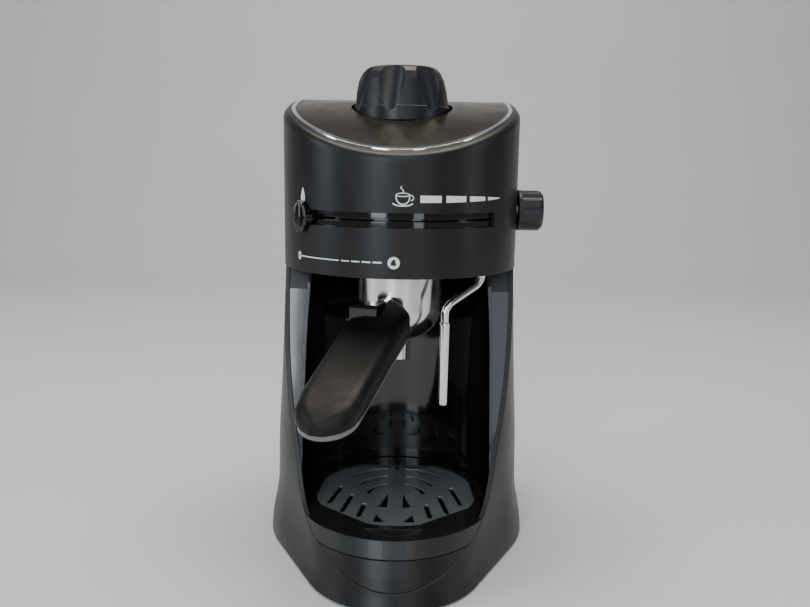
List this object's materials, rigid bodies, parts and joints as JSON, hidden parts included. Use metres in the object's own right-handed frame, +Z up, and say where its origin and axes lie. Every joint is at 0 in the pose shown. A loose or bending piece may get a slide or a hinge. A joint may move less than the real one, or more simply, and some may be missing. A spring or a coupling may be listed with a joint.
{
  "type": "espresso machine",
  "caption": "Small steam espresso machine: round brewing head with screw cap, strength lever and steam knob, on a hollow column over a drip tray with a grille.",
  "frame": {"origin": "on the brewing axis, at the height of the surface the machine stands on", "axes": "+Z up, -Y out of the front over the drip tray, +X towards the steam knob"},
  "size_m": [0.188, 0.2494, 0.325],
  "materials": {
    "body": "fine satin texture",
    "liner": "high gloss",
    "strip": "high gloss",
    "base": "dull",
    "steel": "plain",
    "rubber": "dull",
    "tray": "satin",
    "grille": "satin",
    "chrome": "polished",
    "lid": "satin gloss",
    "alloy": "as cast",
    "seal": "dull",
    "knob": "matte with slight scratches",
    "brass": "plain",
    "block": "dull",
    "polished": "polished",
    "handle": "matte",
    "silver": "satin silver"
  },
  "bodies": {
    "machine": {"outer_shell": "body", "front_panel": "body", "tray_seat": "liner", "inner_liner": "liner", "base_plate": "base", "base_screws": "steel", "foot_ring": "rubber", "head_shell": "body", "chrome_trim": "chrome", "head_lid": "lid", "head_underplate": "liner", "boiler": "alloy", "boiler_heater": "steel", "boiler_bracket": "steel", "bracket_screws": "steel", "thermostat": "steel", "thermal_fuse": "steel", "group_collar": "alloy", "group_gasket": "seal", "shower_screen": "steel", "screen_screw": "steel", "steam_valve": "brass", "steam_pipe": "steel", "wand_socket": "knob", "selector_track": "liner", "rocker_bezel": "liner", "cord_gland": "rubber", "terminal_block": "block", "side_strip_right": "strip", "side_strip_left": "strip", "strip_block_right": "knob", "strip_block_left": "knob"},
    "tray": {"drip_tray": "tray"},
    "grille": {"drip_grille": "grille"},
    "portafilter": {"portafilter_cup": "polished", "portafilter_spout": "polished", "filter_basket": "steel", "handle_grip": "handle", "handle_insert": "silver", "clip_pin": "steel"},
    "clip": {"basket_clip": "liner"},
    "cap_valve": {"safety_valve": "brass"},
    "cap": {"cap_knob": "knob", "cap_insert": "liner", "cap_gasket": "seal"},
    "steam_tap": {"steam_knob": "knob", "steam_stem": "steel"},
    "wand": {"steam_wand": "chrome", "wand_sleeve": "chrome"},
    "selector": {"selector_lever": "liner", "selector_blade": "liner", "selector_shoe": "liner"},
    "rocker": {"power_rocker": "knob"}
  },
  "joints": [
    {"name": "tray_lift", "type": "slide", "parent": "machine", "child": "tray", "axis": [0, 0, 1], "range_m": [0, 0.05]},
    {"name": "grille_lift", "type": "slide", "parent": "tray", "child": "grille", "axis": [0, 0, 1], "range_m": [0, 0.008]},
    {"name": "portafilter_turn", "type": "hinge", "parent": "machine", "child": "portafilter", "pos_m": [0, 0, 0.1945], "axis": [0, 0, 1], "range_deg": [-35.5, 14.5]},
    {"name": "clip_flip", "type": "hinge", "parent": "portafilter", "child": "clip", "pos_m": [-0.01593, -0.05212, 0.163], "axis": [0.9563, -0.2924, 0], "range_deg": [0, 30]},
    {"name": "cap_lift", "type": "slide", "parent": "machine", "child": "cap_valve", "axis": [0, 0, 1], "range_m": [0, 0.06]},
    {"name": "cap_turn", "type": "hinge", "parent": "cap_valve", "child": "cap", "pos_m": [0, 0, 0.2895], "axis": [0, 0, 1], "range_deg": [0, 540]},
    {"name": "steam_turn", "type": "hinge", "parent": "machine", "child": "steam_tap", "pos_m": [0.08, 0, 0.232], "axis": [1, 0, 0], "range_deg": [0, 270]},
    {"name": "wand_swing", "type": "hinge", "parent": "machine", "child": "wand", "pos_m": [0.055, -0.025, 0.1945], "axis": [0, 0, 1], "range_deg": [-20, 90]},
    {"name": "selector_slide", "type": "hinge", "parent": "machine", "child": "selector", "pos_m": [0, 0, 0.2294], "axis": [0, 0, 1], "range_deg": [0, 94]},
    {"name": "rocker_tip", "type": "hinge", "parent": "machine", "child": "rocker", "pos_m": [0, 0.0925, 0.15], "axis": [1, 0, 0], "range_deg": [-16, 0]}
  ]
}
